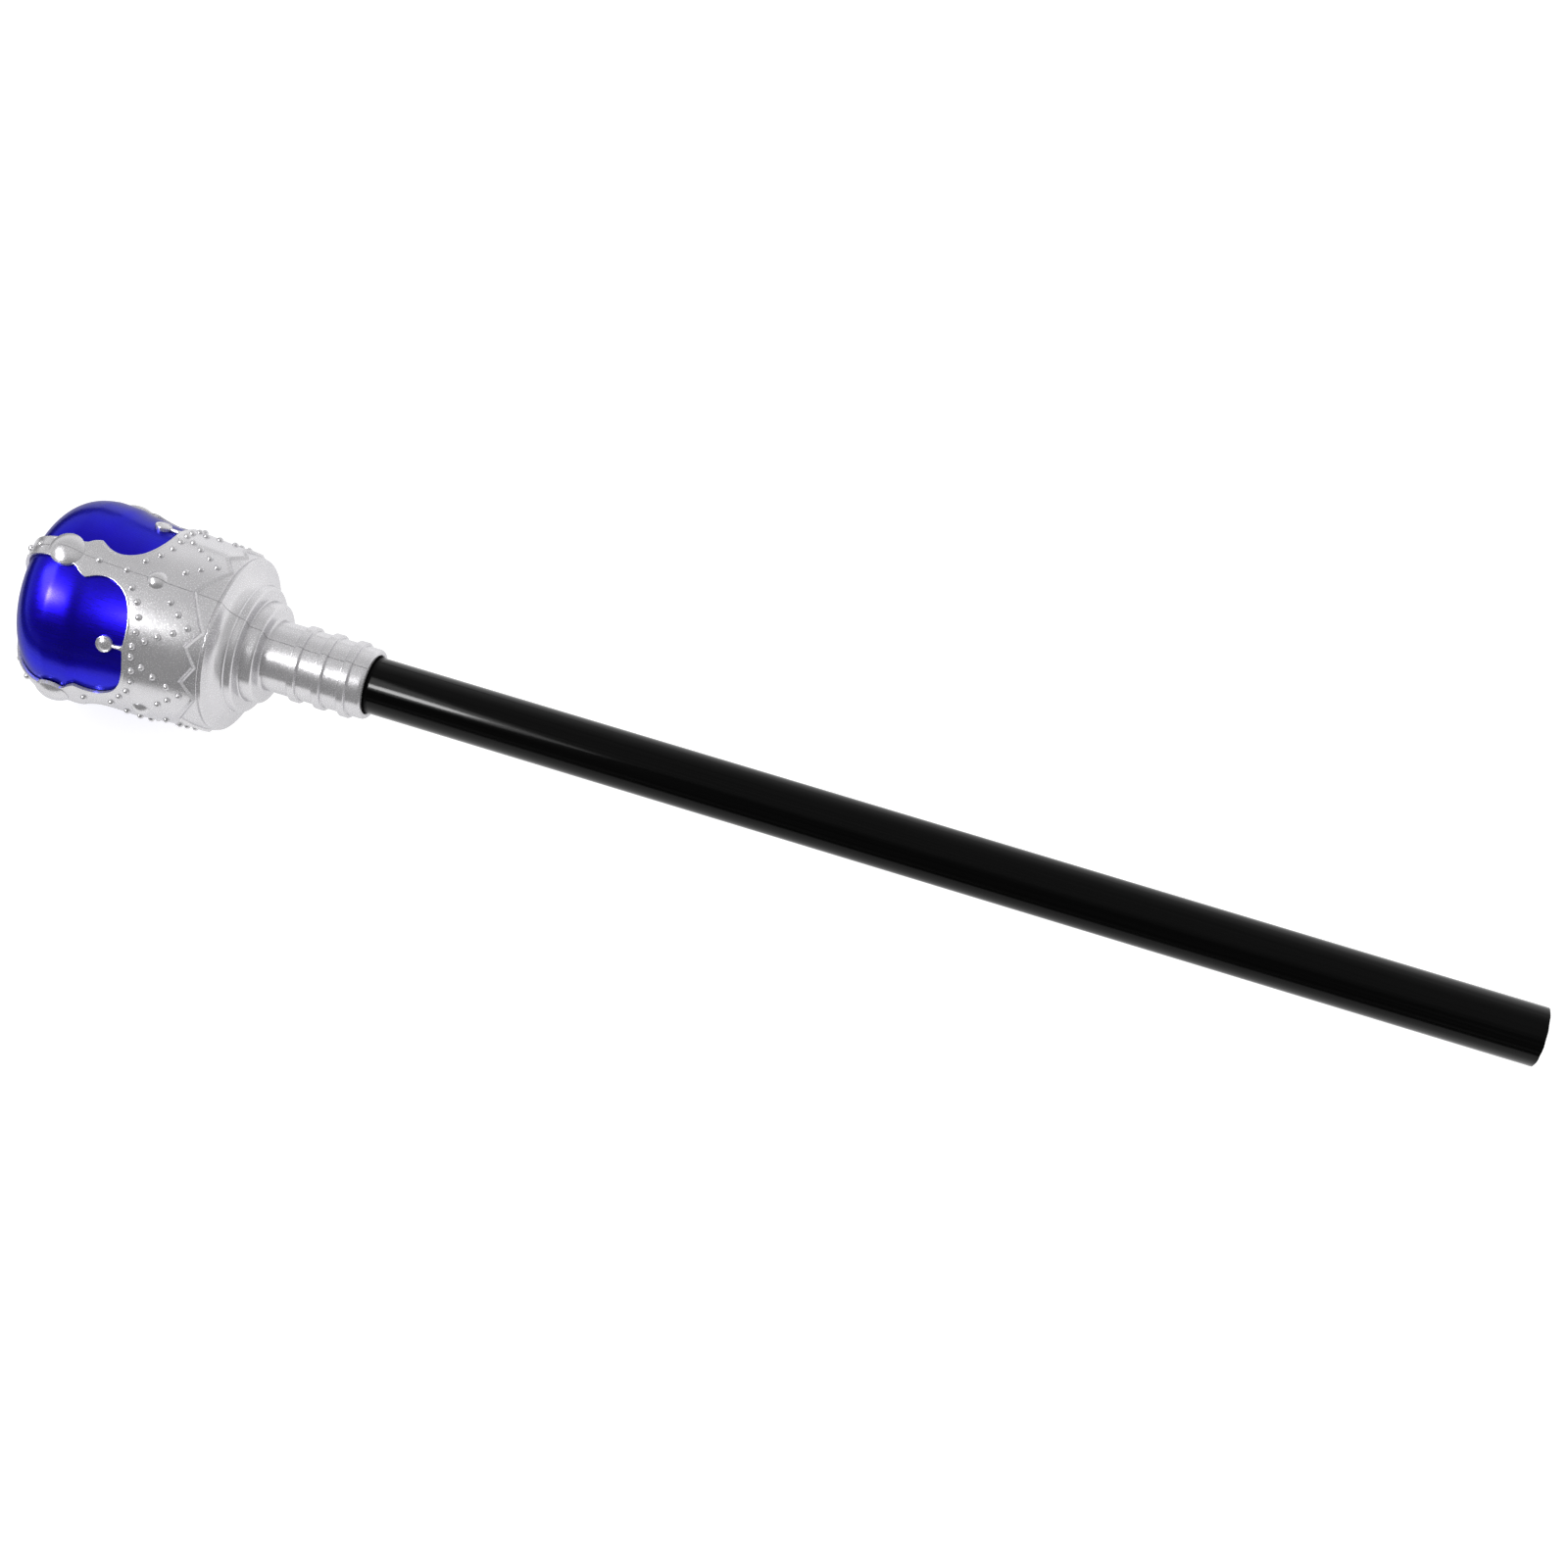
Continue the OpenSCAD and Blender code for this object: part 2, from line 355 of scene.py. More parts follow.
edge_line = [(angle, run_at(h), run_at(facing)) for angle, h, facing in spline(WINDOW_EDGE, 4)]
tip_line = [(angle, run_at(h), run_at(h)) for angle, h in spline(TIP_TO_STRAP, 3)][1:]
strap_start = tip_line[-1][1]
strap_stop = max(run for run in (CROWN_RUN[-1] - 0.05 * k for k in range(400))
                 if crown_at(run)[0] >= STRAP_END_R)
STRAP_ROWS = 26
strap_line = []
for step in range(1, STRAP_ROWS + 1):
    run = strap_start + (strap_stop - strap_start) * step / STRAP_ROWS
    strap_line.append((strap_angle(run), run, run))
RIBS = edge_line + tip_line + strap_line
WALL_ROWS = 14
COLUMNS = 16
EDGE_COLUMN = 0.2                   # share of the width that the column at the edge takes


def eighth(arch, side):
    """The wall from an arch's centre line to the middle of the window on one side of it."""
    foot = run_at(JOIN_H)

    def point(column, row):
        even = column / COLUMNS
        near_edge = 1.0 if column == COLUMNS else even * (1 - EDGE_COLUMN) / (1 - 1 / COLUMNS)
        part = even + (near_edge - even) * min(row / WALL_ROWS, 1)
        if row < WALL_ROWS:
            angle, edge, facing = RIBS[0]
            top = facing + (edge - facing) * part
            run = foot + (top - foot) * row / WALL_ROWS
        else:
            angle, edge, facing = RIBS[row - WALL_ROWS]
            run = facing + (edge - facing) * part
        return on_crown(90 * arch + side * angle * part, run)

    return net("wall", COLUMNS, WALL_ROWS + len(RIBS) - 1, point)


def window_rims():
    """The rounded border of each window, from the pole down one strap, round and up the other."""
    half = [(angle, run) for angle, run, facing in RIBS]
    made = []
    for window in range(4):
        middle = 90 * window + 45
        path = [(middle - 45 + angle, run) for angle, run in half[::-1]]
        path += [(middle + 45 - angle, run) for angle, run in half[1:]]

        def point(column, row):
            angle, run = path[row]
            here = on_crown(angle, run)
            normal = (on_crown(angle, run, 1.0) - here).normalized()
            before, after = path[max(row - 1, 0)], path[min(row + 1, len(path) - 1)]
            along = (on_crown(*after) - on_crown(*before)).normalized()
            inward = along.cross(normal)
            aside, lift = BORDER[column % len(BORDER)]
            return here + (inward * aside + normal * lift) * MM

        rim = net("window_rim", len(BORDER), len(path) - 1, point)
        clean(rim, 0.0005 * MM)
        close_ends(rim)
        made.append(rim)
    return made


def crown_wall():
    """The wall, arches and straps."""
    wall = joined([eighth(arch, side) for arch in range(4) for side in (-1, 1)], "crown_wall")
    clean(wall)
    modify(wall, "SOLIDIFY", thickness=WALL * MM, offset=-1, use_even_offset=True)
    return wall


# ---------------------------------------------------------------- stepped base and neck


def base_line():
    """(radius, height) down the outside from the wall's foot to the neck's mouth."""
    steps = [(24.86, 1.22), (24.58, 1.12), (24.5, 0.98), (24.62, 0.86), (24.72, 0.68),
             (24.7, 0.36), (24.58, 0.14), (24.3, 0.0), (22.6, -0.3), (21.1, -0.85),
             (20.1, -1.6), (19.4, -2.35), (19.0, -2.75), (18.9, -2.95), (18.85, -3.2),
             (18.7, -3.35), (18.3, -3.45), (18.2, -3.6), (18.02, -4.7), (17.92, -4.98),
             (17.65, -5.24), (17.3, -5.35), (15.1, -5.5), (14.7, -5.6), (14.5, -5.85),
             (14.26, -8.5), (14.16, -8.9), (13.9, -9.2), (13.55, -9.36), (13.1, -9.45),
             (11.2, -9.6), (10.6, -9.72), (10.2, -10.0), (10.02, -10.5)]
    for at in reversed(RING_AT):
        steps += [(radius, MOUTH + at - offset) for offset, radius in RING_LINE]
    return steps + [(9.98, -38.3), (9.92, -38.9), (9.6, -39.35), (9.15, -39.5)]


def base_and_neck():
    """Rim, two steps and ringed neck, with the tube socket and its stop inside."""
    foot = run_at(JOIN_H)
    radius, height = crown_at(foot)
    out, up = crown_normal(foot)
    inside_foot = (radius - out * WALL, height - up * WALL)
    stop = MOUTH + SOCKET
    inner = [(8.65, -39.45), (8.35, -39.2), (8.12, -38.6), (8.06, -37.5), (8.06, stop),
             (5.5, stop), (5.5, stop + 1.6), (12.4, stop + 1.6), (12.8, -4.5), (15.6, -4.1),
             (16.4, -3.4), (16.7, -1.6), (18.4, -0.4), (20.6, 1.0), (23.2, 1.1), inside_foot]
    return lathe("base_and_neck", [(radius, height)] + base_line() + inner, steps=8 * COLUMNS)


def head_body():
    """Wall and base as one moulding: their facing rims are taken off and the edges merged."""
    foot = run_at(JOIN_H)
    radius, height = crown_at(foot)
    out, up = crown_normal(foot)
    edges = ((radius, height), (radius - out * WALL, height - up * WALL))
    body = joined([crown_wall(), base_and_neck()], "head_body")

    def at_foot(vertex):
        spot = body.data.vertices[vertex].co
        here = (math.hypot(spot.y, spot.z) / MM, RIM_X - spot.x / MM)
        return min(math.dist(here, edge) for edge in edges) < JOIN_GAP

    select_only(body)
    bpy.ops.object.mode_set(mode="EDIT")
    bpy.ops.mesh.select_mode(type="FACE")
    bpy.ops.mesh.select_all(action="DESELECT")
    end_edit()
    for face in body.data.polygons:
        face.select = all(at_foot(vertex) for vertex in face.vertices)
    bpy.ops.object.mode_set(mode="EDIT")
    bpy.ops.mesh.delete(type="FACE")
    end_edit()
    clean(body, JOIN_GAP * MM)
    soften(body, EDGE_ROUND, segments=3, degrees=70)
    return body


# ---------------------------------------------------------------- jewels, studs, beads, prongs


def lens(radius, foot, rise, steps=12):
    """Outline of a cut-off ball standing on its foot: a jewel, a stud."""
    ball = (radius * radius + rise * rise) / (2 * rise)
    reach = math.asin(radius / ball)
    line = [(0, -foot), (radius, -foot)]
    for step in range(steps + 1):
        turn = reach * (1 - step / steps)
        line.append((ball * math.sin(turn), rise - ball * (1 - math.cos(turn))))
    return line


def coin(radius, foot, edge, rise):
    """Outline of a disc with a rounded border and a low dome inside it."""
    return [(0, -foot), (radius - 0.15, -foot), (radius, edge - 0.5), (radius, edge - 0.25),
            (radius - 0.08, edge - 0.08), (radius - 0.25, edge), (radius - 0.48, edge - 0.06),
            (radius - 0.62, edge - 0.1), (radius * 0.5, edge + rise * 0.6),
            (radius * 0.25, edge + rise * 0.9), (0, edge + rise)]


def round_things():
    """Everything round that stands on the crown, as two lists: -Y half and +Y half."""
    jewel = button("jewel", lens(JEWEL_R, 1.1, JEWEL_RISE), steps=56)
    stud = button("stud", lens(STUD_R, 0.8, STUD_RISE), steps=40)
    prong = button("prong", coin(PRONG_R, 1.1, 0.35, 0.3), steps=36)
    cap = button("cap", coin(CAP_R, 1.0, 0.5, 0.4), steps=64)
    knob = button("knob", lens(KNOB_R, 0.4, 1.0), steps=48)
    bpy.ops.object.select_all(action="DESELECT")
    bpy.ops.mesh.primitive_ico_sphere_add(subdivisions=2, radius=BEAD_R * MM)
    bead = bpy.context.object
    front, back = [], []

    def keep(piece, turn):
        """Files the piece under its half; one that stands on the seam is cut in two."""
        across = math.sin(math.radians(turn))
        if abs(across) > 0.01:
            (back if across > 0 else front).append(piece)
        else:
            first, second = halved(piece)
            front.append(first)
            back.append(second)

    for arch in range(4):
        turn = 90 * arch
        keep(stand(copy_of(jewel), turn, JEWEL_H), turn)
        keep(stand(copy_of(stud), turn, STUD_H, sink=STUD_SINK), turn)
        keep(stand(copy_of(prong), turn + 45, PRONG_H, sink=0.3), turn + 45)
        keep(prong_stem(turn + 45), turn + 45)
        for height in ARCH_BEADS:
            keep(stand(copy_of(bead), turn, height, sink=BEAD_SINK), turn)
        for side in (-1, 1):
            for angle, height in BEADS:
                bead_turn = turn + side * angle
                keep(stand(copy_of(bead), bead_turn, height, sink=BEAD_SINK), bead_turn)
    for piece, lift in ((cap, 0.0), (knob, KNOB_LIFT)):
        select_only(piece)
        piece.matrix_world = Matrix.Translation(place(0, CROWN_H + TOP_H + lift, 0)) @ \
            Matrix.Rotation(math.radians(-90), 4, "Y")
        bpy.ops.object.transform_apply(location=True, rotation=True, scale=True)
        keep(piece, 0)
    for master in (jewel, stud, prong, bead):
        bpy.data.objects.remove(master)
    return front, back


def prong_stem(turn):
    """Thin stem from the window's sill to the round end, wider where it leaves the sill."""
    low, high = run_at(20.6), run_at(PRONG_H - 1.2)
    widths = [3.3, 2.35, 1.6, 1.05, 0.7, 0.56, 0.5, 0.5, 0.5, 0.54, 0.62]
    rows = len(widths) - 1
    across = 8
    sunk, half_height = 0.55, 0.52

    def point(column, row):
        run = low + (high - low) * row / rows
        radius = crown_at(run)[0]
        round_turn = 2 * math.pi * column / across
        aside = widths[row] * math.cos(round_turn)
        lift = -sunk + half_height * math.sin(round_turn)
        return on_crown(turn + math.degrees(aside / radius), run, lift)

    stem = net("stem", across, rows, point)
    clean(stem)
    close_ends(stem)
    return stem


# ---------------------------------------------------------------- zigzag and seam


def zigzag():
    """A ridge with slanting sides that runs round the crown just above the rim."""
    corners = [(90 * arch + angle, height) for arch in range(4) for angle, height in ZIGZAG]
    scale = ZIGZAG_WALL_R * math.pi / 180      # millimetres per degree on the wall
    corners = [(angle * scale, height) for angle, height in corners]
    whole = 360 * scale
    path = []
    for k, (x, y) in enumerate(corners):
        after = corners[(k + 1) % len(corners)]
        before = corners[k - 1]
        x1 = after[0] + (whole if k == len(corners) - 1 else 0)
        x0 = before[0] - (whole if k == 0 else 0)
        ahead = Vector((x1 - x, after[1] - y)).normalized()
        behind = Vector((x - x0, y - before[1])).normalized()
        mitre = (ahead + behind).normalized()
        across = Vector((-mitre.y, mitre.x)) / max(mitre.dot(ahead), 0.5)
        path.append((Vector((x, y)), across))
        parts = max(1, round((Vector((x1, after[1])) - Vector((x, y))).length / 1.6))
        for step in range(1, parts):
            along = Vector((x, y)).lerp(Vector((x1, after[1])), step / parts)
            path.append((along, Vector((-ahead.y, ahead.x))))
    section = [(1.0, -0.3), (1.0, -0.04), (0.12, 1.0), (-0.12, 1.0), (-1.0, -0.04), (-1.0, -0.3)]
    count = len(path)

    def point(column, row):
        here, across = path[row % count]
        aside, lift = section[column % len(section)]
        spot = here + across * aside * ZIGZAG_HALF
        return on_crown(spot.x / scale, run_at(spot.y), lift * ZIGZAG_RISE)

    ridge = net("zigzag", len(section), count, point)
    clean(ridge)
    return ridge


def outer_line_at_seam():
    """(radius, height) along the outside at the seam, in stretches clear of the jewels."""
    def wall(low, high):
        count = round((high - low) / 0.8)
        return [crown_at(run_at(low + (high - low) * k / count)) for k in range(count + 1)]

    def lens_top(height, radius, rise):
        ball = (radius * radius + rise * rise) / (2 * rise)
        run = run_at(height)
        spots = []
        for k in range(-6, 7):
            along = radius * k / 6 * 0.96
            lift = rise - ball + math.sqrt(ball * ball - along * along)
            (r, h), (out, up) = crown_at(run + along), crown_normal(run + along)
            spots.append((r + out * lift, h + up * lift))
        return spots

    return [base_line()[::-1] + wall(1.6, 15.9), lens_top(STUD_H, STUD_R, STUD_RISE - STUD_SINK),
            wall(21.2, 40.2), lens_top(JEWEL_H, JEWEL_R, JEWEL_RISE), wall(48.9, 60.0)]


def seam_flash():
    """The fine raised line where the two halves of the mould met."""
    rng = random.Random(11)
    made = []
    across = 6
    for turn in (0, 180):
        for line in outer_line_at_seam():
            sizes = [FLASH_RISE + FLASH_SPREAD * rng.random() for _ in line]

            def point(column, row):
                radius, height = line[row]
                before, after = line[max(row - 1, 0)], line[min(row + 1, len(line) - 1)]
                along = Vector((after[0] - before[0], after[1] - before[1])).normalized()
                angle = 2 * math.pi * column / across
                out = sizes[row] * math.sin(angle) + FLASH_LIFT
                aside = FLASH_HALF * math.cos(angle)
                radius += along.y * out
                height -= along.x * out
                return place(turn + math.degrees(aside / radius), height, radius)

            flash = net("flash", across, len(line) - 1, point)
            clean(flash, 0.0005 * MM)
            close_ends(flash)
            made.append(flash)
    return made


# ---------------------------------------------------------------- pieces


def head_pieces():
    front, back = round_things()
    rims = window_rims()
    back += rims[:2]
    front += rims[2:]
    for piece in (head_body(), zigzag()):
        first, second = halved(piece)
        front.append(first)
        back.append(second)
    front = joined(front, "silver_half_front")
    back = joined(back + seam_flash(), "silver_half_back")
    for piece, node in ((front, "crown_shell_front"), (back, "crown_shell_back")):
        smooth(piece, 32)
        modify(piece, "WEIGHTED_NORMAL", keep_sharp=True, weight=50)
        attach(piece, "head")
        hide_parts(node)
    return front, back


def blue_dome():
    """The hollow cup between the half shells, a hair inside them."""
    gap = WALL + DOME_GAP
    inner_gap = gap + DOME_WALL
    outer = []
    inner = []
    step = 0.9
    run = run_at(DOME_FOOT)
    while run < CROWN_RUN[-1] - 0.2:
        radius, height = crown_at(run)
        out, up = crown_normal(run)
        outer.append((radius - out * gap, height - up * gap))
        inner.append((radius - out * inner_gap, height - up * inner_gap))
        run += step
    pole = CROWN_H + TOP_H
    line = outer + [(0, pole - gap), (0, pole - inner_gap)] + inner[::-1]
    dome = lathe("blue_dome_cup", line, steps=200)
    drop_loose(dome)
    soften(dome, 0.25, segments=2, degrees=50)
    smooth(dome, 40)
    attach(dome, "head")
    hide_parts("blue_dome")
    return dome


def black_tube():
    """Extruded tube, sawn off square with a slightly rough edge."""
    rng = random.Random(5)
    length = (TUBE_HIGH.x - TUBE_LOW.x) / MM
    bpy.ops.object.select_all(action="DESELECT")
    bpy.ops.mesh.primitive_cylinder_add(
        vertices=160, radius=TUBE_R * MM, depth=length * MM, end_fill_type="NGON",
        location=(-length / 2 * MM, 0, 0), rotation=(0, math.radians(90), 0))
    tube = bpy.context.object
    tube.name = "extruded_tube"
    bpy.ops.object.transform_apply(location=True, rotation=True, scale=True)
    edit_all(tube)
    bpy.ops.mesh.select_all(action="DESELECT")
    bpy.ops.mesh.select_mode(type="FACE")
    end_edit()
    for face in tube.data.polygons:
        face.select = abs(face.normal.x) > 0.9
    bpy.ops.object.mode_set(mode="EDIT")
    bpy.ops.mesh.inset(thickness=TUBE_WALL * MM)
    bpy.ops.mesh.bridge_edge_loops()
    end_edit()
    clean(tube)
    soften(tube, 0.1, segments=2, degrees=50)
    # The saw left the open end a little wavy.
    for vertex in tube.data.vertices:
        if vertex.co.x > -0.2 * MM:
            turn = math.atan2(vertex.co.y, vertex.co.z)
            rough = 0.06 * math.sin(3 * turn + 1) + 0.04 * math.sin(11 * turn)
            vertex.co.x -= (0.1 + rough + 0.05 * rng.random()) * MM
    smooth(tube, 40)
    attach(tube, "handle")
    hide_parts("tube")
    return tube


# ---------------------------------------------------------------- materials


def linear(hex_code):
    """sRGB hex colour as linear RGBA."""
    values = [int(hex_code[i:i + 2], 16) / 255 for i in (1, 3, 5)]
    return tuple(v / 12.92 if v <= 0.04045 else ((v + 0.055) / 1.055) ** 2.4
                 for v in values) + (1.0,)


def add_node(tree, kind, links=(), **values):
    """Adds a node; values set its properties or inputs, links joins (output, input name)."""
    node = tree.nodes.new(kind)
    for key, value in values.items():
        if hasattr(node, key):
            setattr(node, key, value)
        else:
            node.inputs[key.replace("_", " ")].default_value = value
    for output, name in links:
        tree.links.new(output, node.inputs[name])
    return node


def new_material(name):
    material = bpy.data.materials.new(name)
    material.use_nodes = True
    tree = material.node_tree
    shader = tree.nodes["Principled BSDF"]
    coords = add_node(tree, "ShaderNodeTexCoord")
    return material, tree, shader, coords.outputs["Object"]


def set_ramp(node, stops):
    ramp = node.color_ramp
    while len(ramp.elements) > len(stops):
        ramp.elements.remove(ramp.elements[-1])
    while len(ramp.elements) < len(stops):
        ramp.elements.new(0.5)
    for element, (position, colour) in zip(ramp.elements, stops):
        element.position = position
        element.color = colour


def silver_abs():
    """Silver-grey ABS moulded with aluminium flake: satin, faintly sparkling, with orange peel."""
    material, tree, shader, place_out = new_material("moulded_silver_flake_abs")
    # Flake of about 0.35 mm: drawn coarse enough to show as a fine sparkle.
    flake = add_node(tree, "ShaderNodeTexNoise", [(place_out, "Vector")], Scale=2800.0, Detail=1.0)
    # Flow streaks in the melt, about 8 mm apart.
    flow = add_node(tree, "ShaderNodeTexNoise", [(place_out, "Vector")], Scale=120.0, Detail=3.0)
    tone = add_node(tree, "ShaderNodeMapRange", [(flow.outputs["Fac"], "Value")],
                    From_Min=0.3, From_Max=0.7, To_Min=0.25, To_Max=0.75)
    colour = add_node(tree, "ShaderNodeValToRGB", [(tone.outputs["Result"], "Fac")])
    set_ramp(colour, [(0.0, linear("#CCCBCE")), (1.0, linear("#D8D7D9"))])
    tree.links.new(colour.outputs["Color"], shader.inputs["Base Color"])
    rough = add_node(tree, "ShaderNodeMapRange", [(flake.outputs["Fac"], "Value")],
                     From_Min=0.3, From_Max=0.7, To_Min=0.21, To_Max=0.29)
    tree.links.new(rough.outputs["Result"], shader.inputs["Roughness"])
    # Orange peel with a wavelength near 1.2 mm, about 10 microns high.
    peel = add_node(tree, "ShaderNodeTexNoise", [(place_out, "Vector")], Scale=820.0, Detail=0.0)
    fine = add_node(tree, "ShaderNodeBump", [(flake.outputs["Fac"], "Height")],
                    Strength=0.02, Distance=0.00003)
    bump = add_node(tree, "ShaderNodeBump", [(peel.outputs["Fac"], "Height"),
                                             (fine.outputs["Normal"], "Normal")],
                    Strength=0.18, Distance=0.00006)
    tree.links.new(bump.outputs["Normal"], shader.inputs["Normal"])
    shader.inputs["Metallic"].default_value = 0.68
    shader.inputs["Specular Tint"].default_value = linear("#D8D8DA")
    return material


def blue_lacquer():
    """Blue metallic lacquer over a plastic cup: deep colour under a clear, glossy coat."""
    material, tree, shader, place_out = new_material("metallic_blue_lacquer")
    cloud = add_node(tree, "ShaderNodeTexNoise", [(place_out, "Vector")], Scale=160.0, Detail=2.0)
    colour = add_node(tree, "ShaderNodeValToRGB", [(cloud.outputs["Fac"], "Fac")])
    set_ramp(colour, [(0.3, linear("#1802C2")), (0.7, linear("#1A06D0"))])
    tree.links.new(colour.outputs["Color"], shader.inputs["Base Color"])
    # Polishing scratches along the wand, 0.3 mm apart and drawn long.
    stretch = add_node(tree, "ShaderNodeMapping", [(place_out, "Vector")])
    stretch.inputs["Scale"].default_value = (60.0, 2600.0, 2600.0)
    scratch = add_node(tree, "ShaderNodeTexNoise", [(stretch.outputs["Vector"], "Vector")],
                       Scale=1.0, Detail=2.0)
    rough = add_node(tree, "ShaderNodeMapRange", [(scratch.outputs["Fac"], "Value")],
                     From_Min=0.35, From_Max=0.7, To_Min=0.26, To_Max=0.34)
    tree.links.new(rough.outputs["Result"], shader.inputs["Roughness"])
    bump = add_node(tree, "ShaderNodeBump", [(scratch.outputs["Fac"], "Height")],
                    Strength=0.06, Distance=0.00003)
    tree.links.new(bump.outputs["Normal"], shader.inputs["Normal"])
    shader.inputs["Metallic"].default_value = 0.9
    # Seen aslant, the lacquer turns dark violet.
    shader.inputs["Specular Tint"].default_value = linear("#3E2870")
    shader.inputs["Coat Weight"].default_value = 0.32
    shader.inputs["Coat Roughness"].default_value = 0.2
    return material


def black_pvc():
    """Black extruded PVC: glossy, with faint draw lines along its length."""
    material, tree, shader, place_out = new_material("extruded_black_pvc")
    # Draw lines about 0.5 mm apart round the tube, hundreds of times longer than wide.
    stretch = add_node(tree, "ShaderNodeMapping", [(place_out, "Vector")])
    stretch.inputs["Scale"].default_value = (6.0, 1800.0, 1800.0)
    lines = add_node(tree, "ShaderNodeTexNoise", [(stretch.outputs["Vector"], "Vector")],
                     Scale=1.0, Detail=2.0)
    colour = add_node(tree, "ShaderNodeValToRGB", [(lines.outputs["Fac"], "Fac")])
    set_ramp(colour, [(0.35, linear("#040404")), (0.75, linear("#080808"))])
    tree.links.new(colour.outputs["Color"], shader.inputs["Base Color"])
    rough = add_node(tree, "ShaderNodeMapRange", [(lines.outputs["Fac"], "Value")],
                     From_Min=0.3, From_Max=0.7, To_Min=0.09, To_Max=0.19)
    tree.links.new(rough.outputs["Result"], shader.inputs["Roughness"])
    bump = add_node(tree, "ShaderNodeBump", [(lines.outputs["Fac"], "Height")],
                    Strength=0.15, Distance=0.00003)
    tree.links.new(bump.outputs["Normal"], shader.inputs["Normal"])
    shader.inputs["IOR"].default_value = 1.3
    shader.inputs["Specular IOR Level"].default_value = 0.25
    return material


def paint(obj, material):
    obj.data.materials.clear()
    obj.data.materials.append(material)


# ---------------------------------------------------------------- studio


def camera():
    """A 52 mm lens above and in front of the wand, rolled so that the tube runs down right."""
    data = bpy.data.cameras.new("camera")
    data.lens = 51.63
    data.sensor_width = 36
    data.clip_start = 0.01
    data.clip_end = 20
    cam = bpy.data.objects.new("camera", data)
    bpy.context.scene.collection.objects.link(cam)
    forward = Vector((-0.12592, 0.38777, -0.91311)).normalized()
    up = Vector((-0.28553, 0.86732, 0.40771))
    right = forward.cross(up).normalized()
    up = right.cross(forward)
    cam.matrix_world = Matrix((right, up, -forward)).transposed().to_4x4()
    cam.location = Vector((-130.76, -228.88, 555.31)) * MM
    bpy.context.scene.camera = cam
    return cam


def area_light(name, spot, aim, size, power, size_y=None):
    data = bpy.data.lights.new(name, "AREA")
    data.energy = power
    data.shape = "RECTANGLE"
    data.size = size
    data.size_y = size_y or size
    lamp = bpy.data.objects.new(name, data)
    bpy.context.scene.collection.objects.link(lamp)
    lamp.location = spot
    lamp.rotation_euler = (Vector(aim) - Vector(spot)).to_track_quat("-Z", "Y").to_euler()
    return lamp


def near(tree, way, direction, low, high):
    """0 to 1 as the way turns from far off the direction to along it."""
    dot = add_node(tree, "ShaderNodeVectorMath", [(way, 0)], operation="DOT_PRODUCT")
    dot.inputs[1].default_value = Vector(direction).normalized()
    ramp = add_node(tree, "ShaderNodeMapRange", [(dot.outputs["Value"], "Value")],
                    interpolation_type="SMOOTHSTEP", From_Min=low, From_Max=high)
    return ramp.outputs["Result"]


def blended(tree, factor, first, second):
    """first where the factor is 0, second where it is 1; each a grey level or an output."""
    mix = add_node(tree, "ShaderNodeMix", [(factor, "Factor")], data_type="FLOAT")
    for value, name in ((first, "A"), (second, "B")):
        if isinstance(value, float):
            mix.inputs[name].default_value = value
        else:
            tree.links.new(value, mix.inputs[name])
    return mix.outputs["Result"]


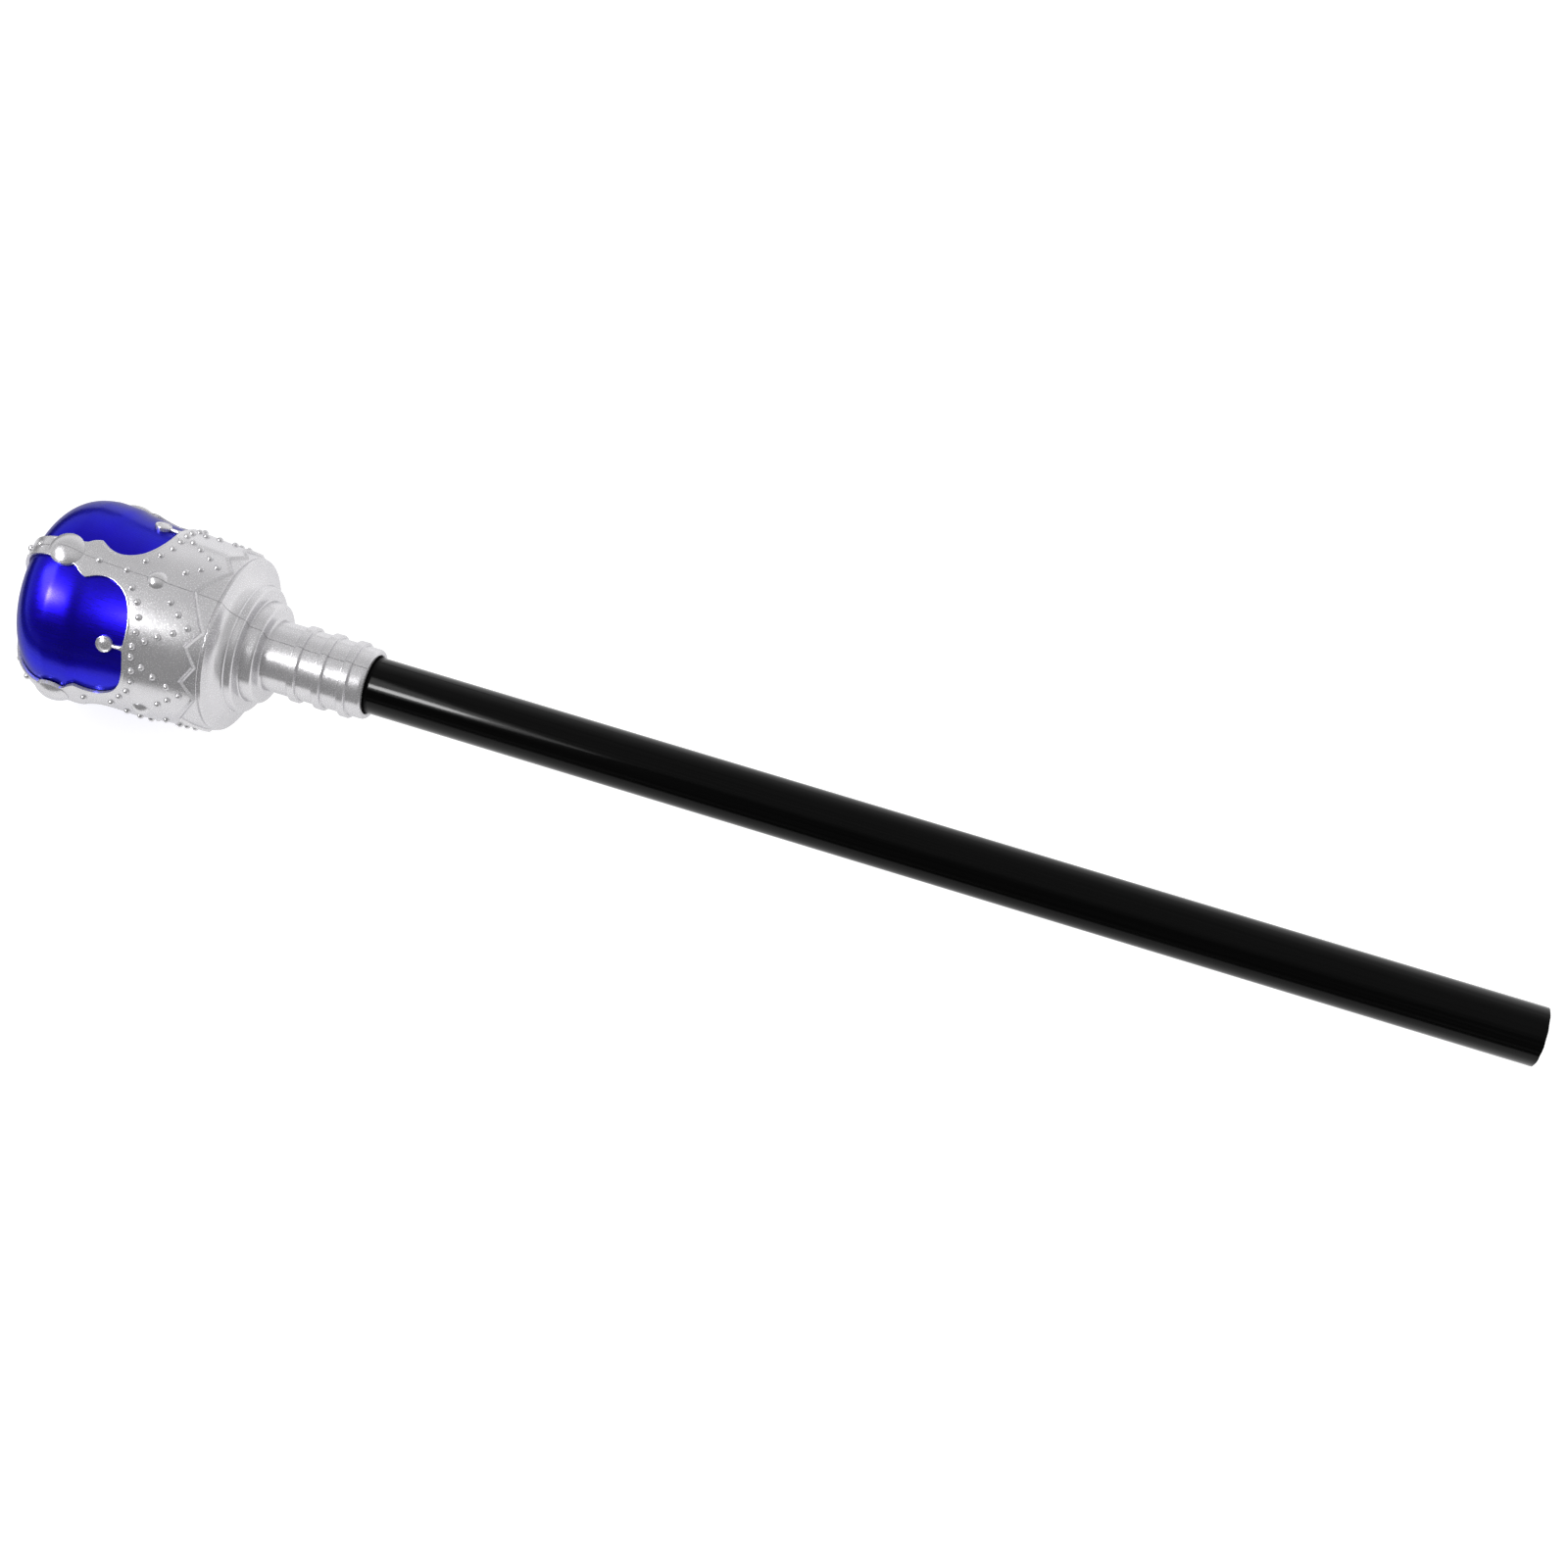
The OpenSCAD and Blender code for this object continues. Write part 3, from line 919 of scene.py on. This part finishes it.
def studio():
    """A lit white table in a pale room that is dark behind the camera, with two softboxes."""
    world = bpy.data.worlds.new("studio")
    world.use_nodes = True
    tree = world.node_tree
    way = add_node(tree, "ShaderNodeTexCoord").outputs["Generated"]
    squeeze = add_node(tree, "ShaderNodeVectorMath", [(way, 0)], operation="MULTIPLY")
    squeeze.inputs[1].default_value = (0.3, 1, 1)
    across = add_node(tree, "ShaderNodeVectorMath", [(squeeze.outputs["Vector"], 0)],
                      operation="NORMALIZE").outputs["Vector"]
    room = blended(tree, near(tree, across, (0, 0, 1), 0.2, 0.85), 0.9, 0.42)
    room = blended(tree, near(tree, across, (0, -0.88, 0.47), 0.66, 0.95), room, 0.1)
    # The dark part only shows in reflections; behind the table the room is pale all round.
    seen = add_node(tree, "ShaderNodeLightPath").outputs["Is Camera Ray"]
    room = blended(tree, seen, room, 0.92)
    tree.links.new(room, tree.nodes["Background"].inputs["Color"])
    bpy.context.scene.world = world
    bpy.context.scene.view_settings.view_transform = "Standard"
    bpy.ops.object.select_all(action="DESELECT")
    bpy.ops.mesh.primitive_plane_add(size=6, location=(-0.2, 0, FLOOR_Z * MM))
    floor = bpy.context.object
    floor.name = "floor"
    material, tree, shader, place_out = new_material("lit_white_acrylic_table")
    shader.inputs["Base Color"].default_value = linear("#909090")
    shader.inputs["Roughness"].default_value = 0.9
    shader.inputs["Specular IOR Level"].default_value = 0.0
    shader.inputs["Emission Color"].default_value = (1, 1, 1, 1)
    shader.inputs["Emission Strength"].default_value = 0.9
    paint(floor, material)
    # Each softbox shows as a reflection only, so the table keeps clear of hard shadows.
    band = area_light("softbox", (-0.958, -0.277, 0.76), (-0.37, 0, 0), 0.72, 4.3, size_y=0.40)
    spot = area_light("small_softbox", (-0.792, -0.352, 0.615), (-0.38, 0, 0.01), 0.17, 3.6)
    spot.data.shape = "DISK"
    for lamp in (band, spot):
        lamp.visible_diffuse = False
    # Dark cards on the table in front and beyond the head, seen only in reflections.
    material, tree, shader, place_out = new_material("matt_black_card")
    shader.inputs["Base Color"].default_value = linear("#202020")
    shader.inputs["Roughness"].default_value = 0.9
    for name, spot in (("card_front", (-0.2, -1.165)), ("card_head_side", (-1.53, 0.835))):
        bpy.ops.object.select_all(action="DESELECT")
        bpy.ops.mesh.primitive_plane_add(size=2, location=(*spot, (FLOOR_Z + CARD_LIFT) * MM))
        card = bpy.context.object
        card.name = name
        paint(card, material)
        card.visible_camera = card.visible_diffuse = card.visible_shadow = False
    ceiling = area_light("ceiling", (-0.2, 0.2, 3.0), (-0.2, 0, 0), 3.0, 90)
    ceiling.visible_glossy = False


front, back = head_pieces()
dome = blue_dome()
tube = black_tube()
silver = silver_abs()
paint(front, silver)
paint(back, silver)
paint(dome, blue_lacquer())
paint(tube, black_pvc())
camera()
studio()
